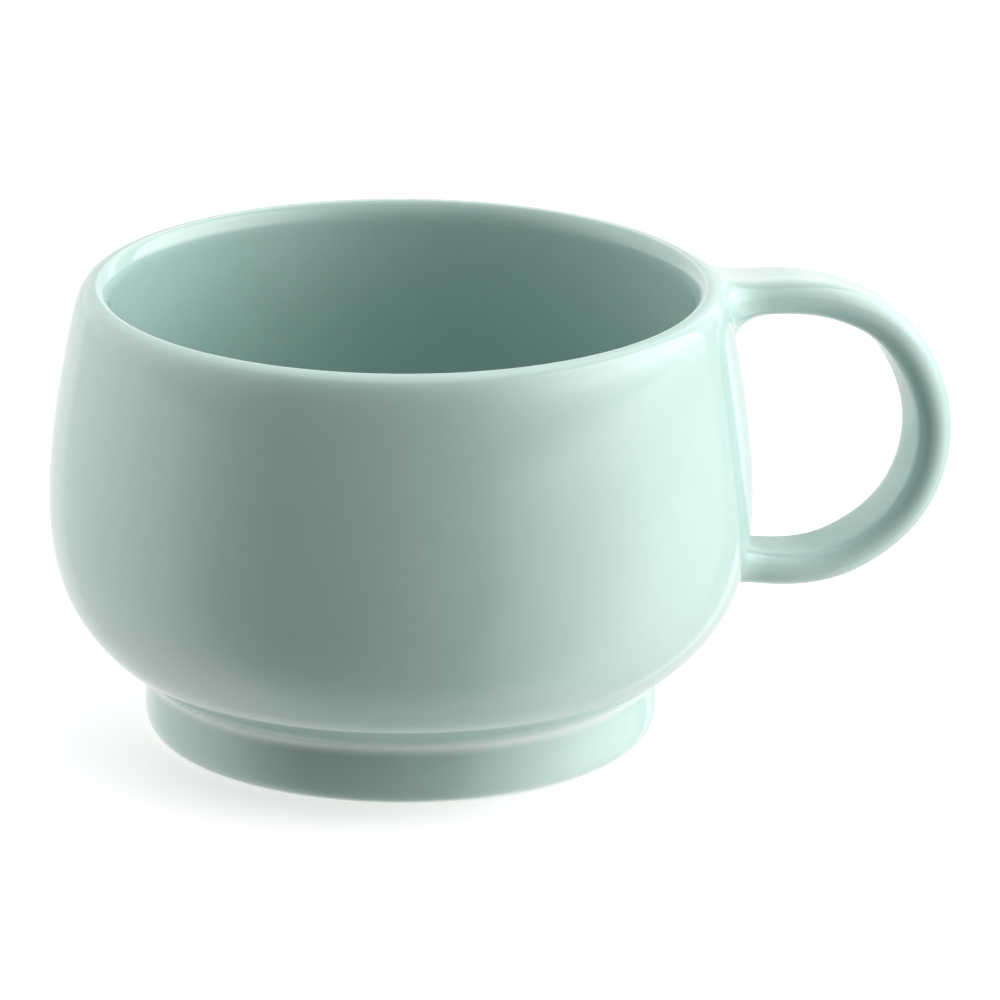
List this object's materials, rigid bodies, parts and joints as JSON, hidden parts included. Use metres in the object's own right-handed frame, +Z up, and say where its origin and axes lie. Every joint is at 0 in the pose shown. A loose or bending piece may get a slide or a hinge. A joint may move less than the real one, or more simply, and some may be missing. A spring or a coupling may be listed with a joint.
{
  "type": "espresso cup",
  "caption": "Round-bellied espresso cup with a rounded lip, raised foot ring and strap loop handle, in glossy pale green glazed ceramic.",
  "frame": {"origin": "on the table plane, under the middle of the overall length; the cup's own axis is 11.2 mm towards -X", "axes": "+X along the overall length towards the handle, +Y across, +Z up towards the rim"},
  "size_m": [0.0924, 0.07, 0.0455],
  "materials": {
    "celadon_glaze": "glossy pale green glaze over white body",
    "foot_glaze": "glossy pale green glaze, wiped off the band that touches the table",
    "slip_glaze": "glossy pale green glaze over wiped slip"
  },
  "bodies": {
    "root": {"cup_bowl": "celadon_glaze", "foot_ring": "foot_glaze", "foot_lute": "slip_glaze", "handle": "celadon_glaze", "upper_handle_lute": "slip_glaze", "lower_handle_lute": "slip_glaze"}
  },
  "joints": []
}
